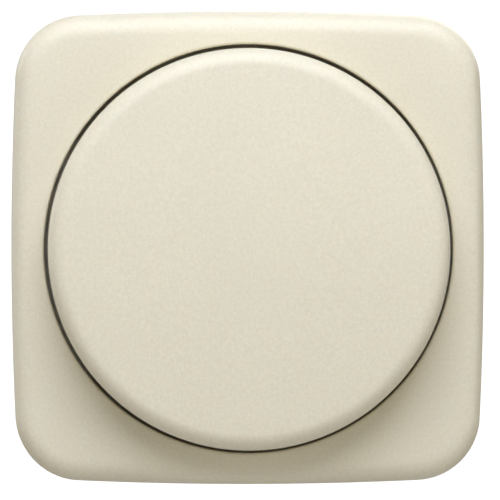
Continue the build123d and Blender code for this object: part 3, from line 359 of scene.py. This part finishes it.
# the well, its floor and the bush's hole, with their points at the outline's angles
angles = [math.atan2(p.z, p.x) for p in cushion_ring(0, 0, *PLATE)]
profile = arc((WELL + LIP, FRONT - LIP), LIP, 90, 180, LIP_STEPS)
profile += [(WELL, FLOOR_TOP + WELL_BREAK), (WELL - WELL_BREAK, FLOOR_TOP)]
profile += [(BUSH_HOLE, FLOOR_TOP), (BUSH_HOLE, FLOOR_UNDER)]
profile += [(WELL_OUT, FLOOR_UNDER), (WELL_OUT, FRONT - WALL)]
rings += [round_ring(r, h, angles) for r, h in profile]

# the hollow behind the front, back to the wall
hollow = [(WALL + INNER_BREAK, FRONT - WALL), (WALL + WALL_LEAN, FRONT - WALL - INNER_BREAK), (WALL, 0.0)]
rings += [cushion_ring(s, h, *PLATE) for s, h in hollow]
skin("plate_shell", rings, True, "cream_plastic", "base", "cover_plate")

# ---------------------------------------------------------------- knob
low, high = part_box("control_knob")
RADIUS = high.x
KNOB_FRONT = -low.y
SKIRT_END = -high.y
RIM = RADIUS - 0.15 * MM
DOME = 0.9 * MM
ROUND = 2.9 * MM
ROUND_POWER = 2.2
SHELL = 1.8 * MM
END_BREAK = 0.3 * MM
SKIRT_MIDDLE = 0.08 * MM
INNER_BEVEL = 1.6 * MM
HUB = 6.0 * MM
HUB_END = 12.0 * MM
BORE = 3.05 * MM
BORE_END = 17.2 * MM

# the flat face and its rounded edge, both sunk by the dome, and then the skirt's end
flat = RIM - ROUND
face = [(flat * step / DOME_STEPS, KNOB_FRONT) for step in range(1, DOME_STEPS + 1)]
face += soft_corner((flat, KNOB_FRONT - ROUND), ROUND, ROUND_POWER, KNOB_EDGE_STEPS)[1:]
profile = [(r, h - DOME * (r / RIM) ** 2) for r, h in face]
profile += [(RADIUS, SKIRT_END + END_BREAK), (RADIUS - SKIRT_MIDDLE, SKIRT_END + SKIRT_MIDDLE)]
profile += [(RADIUS - END_BREAK, SKIRT_END)]

# the hollow inside, the hub and its bore
inside = RADIUS - SHELL
ceiling = KNOB_FRONT - SHELL
profile += [(inside, SKIRT_END), (inside, ceiling - DOME - INNER_BEVEL)]
profile += [(inside - INNER_BEVEL, ceiling - DOME)]
profile += [(HUB, ceiling), (HUB, HUB_END + END_BREAK), (HUB - END_BREAK, HUB_END)]
profile += [(BORE, HUB_END), (BORE, BORE_END)]

angles = [2 * math.pi * n / ROUND_STEPS for n in range(ROUND_STEPS)]
rings = [[Vector((0, -KNOB_FRONT, 0))]]
rings += [round_ring(r, h, angles) for r, h in profile]
rings.append([Vector((0, -BORE_END, 0))])
skin("knob_shell", rings, False, "cream_plastic", "knob", "control_knob")

# ---------------------------------------------------------------- return spring
SPRING_TURNS = 4
STEPS_PER_TURN = 40
WIRE_SIDES = 12
WIRE = 0.15 * MM  # the wire's radius
low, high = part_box("return_spring")
room = high.y - low.y
coil_radius = (high.x - low.x) / 2 - WIRE
pitch = (room - 2 * WIRE) / SPRING_TURNS


def wire_ring(turn):
    """One cross-section of the spring's wire, this many turns up from its foot."""
    a = 2 * math.pi * turn
    outward = Vector((math.cos(a), 0, math.sin(a)))
    around = Vector((-math.sin(a), 0, math.cos(a)))
    along = around * coil_radius - Vector((0, pitch / (2 * math.pi), 0))
    across = outward.cross(along).normalized()
    middle = outward * coil_radius + Vector((0, high.y - WIRE - pitch * turn, 0))
    spots = [2 * math.pi / WIRE_SIDES * n for n in range(WIRE_SIDES)]
    return [middle + (outward * math.cos(t) + across * math.sin(t)) * WIRE for t in spots]


wire = [wire_ring(n / STEPS_PER_TURN) for n in range(SPRING_TURNS * STEPS_PER_TURN + 1)]
ends = [[sum(ring, Vector()) / WIRE_SIDES] for ring in (wire[0], wire[-1])]
spring = skin("spring_coil", [ends[0], *wire, ends[1]], False, "spring_steel", "base", "return_spring")
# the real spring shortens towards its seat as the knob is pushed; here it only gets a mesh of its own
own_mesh(spring)

# ---------------------------------------------------------------- camera, lights and surroundings
scene = bpy.context.scene
scene.view_settings.view_transform = "Standard"
scene.view_settings.look = "None"

IMAGE_PIXELS = 500
PIXELS_PER_MM = 5.94750625
SENSOR = 36.0
DISTANCE = 1.2
AIM = Vector((0.25 * MM, -10 * MM, -0.2 * MM))
AZIMUTH = math.radians(-1.1)
ELEVATION = math.radians(1.2)

camera = bpy.data.objects.new("camera", bpy.data.cameras.new("camera"))
scene.collection.objects.link(camera)
camera.data.sensor_width = SENSOR
camera.data.lens = PIXELS_PER_MM / MM * DISTANCE * SENSOR / IMAGE_PIXELS
level = Vector((math.sin(AZIMUTH), -math.cos(AZIMUTH), 0))
toward = level * math.cos(ELEVATION) + Vector((0, 0, math.sin(ELEVATION)))
camera.location = AIM + toward * DISTANCE
camera.rotation_euler = (-toward).to_track_quat("-Z", "Y").to_euler()
camera.data.clip_start = 0.01
scene.camera = camera


WHITE = (1, 1, 1)
WARM = (1, 0.98, 0.93)
COOL = (0.94, 0.99, 1.13)
# name, place, width, watts and tint of each round area light, all of them turned to the object
LIGHTS = [
    ("top_softbox", (-0.01, -0.31, 0.38), 0.5, 2.66, COOL),
    ("left_fill", (-0.75, -0.4, 0.05), 0.5, 0.95, WARM),
    ("right_fill", (0.75, -0.4, 0.05), 0.5, 1.3, WARM),
    ("front_fill", (0.0, -1.6, 0.1), 1.2, 2.2, WARM),
    ("back_fill", (0.4, 0.9, 0.5), 0.8, 5.0, WHITE),
    ("back_fill_left", (-0.8, 0.7, 0.25), 0.8, 3.0, WHITE),
]
for name, place, width, watts, tint in LIGHTS:
    data = bpy.data.lights.new(name, "AREA")
    data.shape = "DISK"
    data.size = width
    data.energy = watts
    data.color = tint
    lamp = bpy.data.objects.new(name, data)
    lamp.location = place
    lamp.rotation_euler = (ORIGIN - Vector(place)).to_track_quat("-Z", "Y").to_euler()
    scene.collection.objects.link(lamp)

world = bpy.data.worlds.new("studio")
scene.world = world
world.use_nodes = True
nodes, links = world.node_tree.nodes, world.node_tree.links
ambient = nodes["Background"]
ambient.inputs["Color"].default_value = (1, 0.95, 0.83, 1)
ambient.inputs["Strength"].default_value = 0.215
# seen directly, the studio is pale; as light on the object it is dimmer and warmer
pale = nodes.new("ShaderNodeBackground")
pale.inputs["Color"].default_value = (0.80, 0.80, 0.79, 1)
choice = nodes.new("ShaderNodeMixShader")
path = nodes.new("ShaderNodeLightPath")
links.new(path.outputs["Is Camera Ray"], choice.inputs["Fac"])
links.new(ambient.outputs["Background"], choice.inputs[1])
links.new(pale.outputs["Background"], choice.inputs[2])
links.new(choice.outputs["Shader"], nodes["World Output"].inputs["Surface"])


def stage_plane(name, place, size, turn, glow):
    """A pale, softly glowing square round the object, which isn't part of it."""
    bpy.ops.mesh.primitive_grid_add(
        x_subdivisions=2, y_subdivisions=2, size=size, location=place, rotation=turn
    )
    plane = bpy.context.object
    plane.name = name
    look = Nodes(name)
    look.set(Base_Color=(0.85, 0.85, 0.84, 1), Roughness=0.9)
    look.set(Emission_Color=(1, 1, 1, 1), Emission_Strength=glow)
    plane.data.materials.append(look.material)


UPRIGHT = (math.radians(90), 0, 0)
LEVEL = (0, 0, 0)
stage_plane("backdrop", (0, 4.0, 0), 2.0, UPRIGHT, 1.0)
stage_plane("floor", (0, 0, -0.6), 1.0, LEVEL, 0.1)
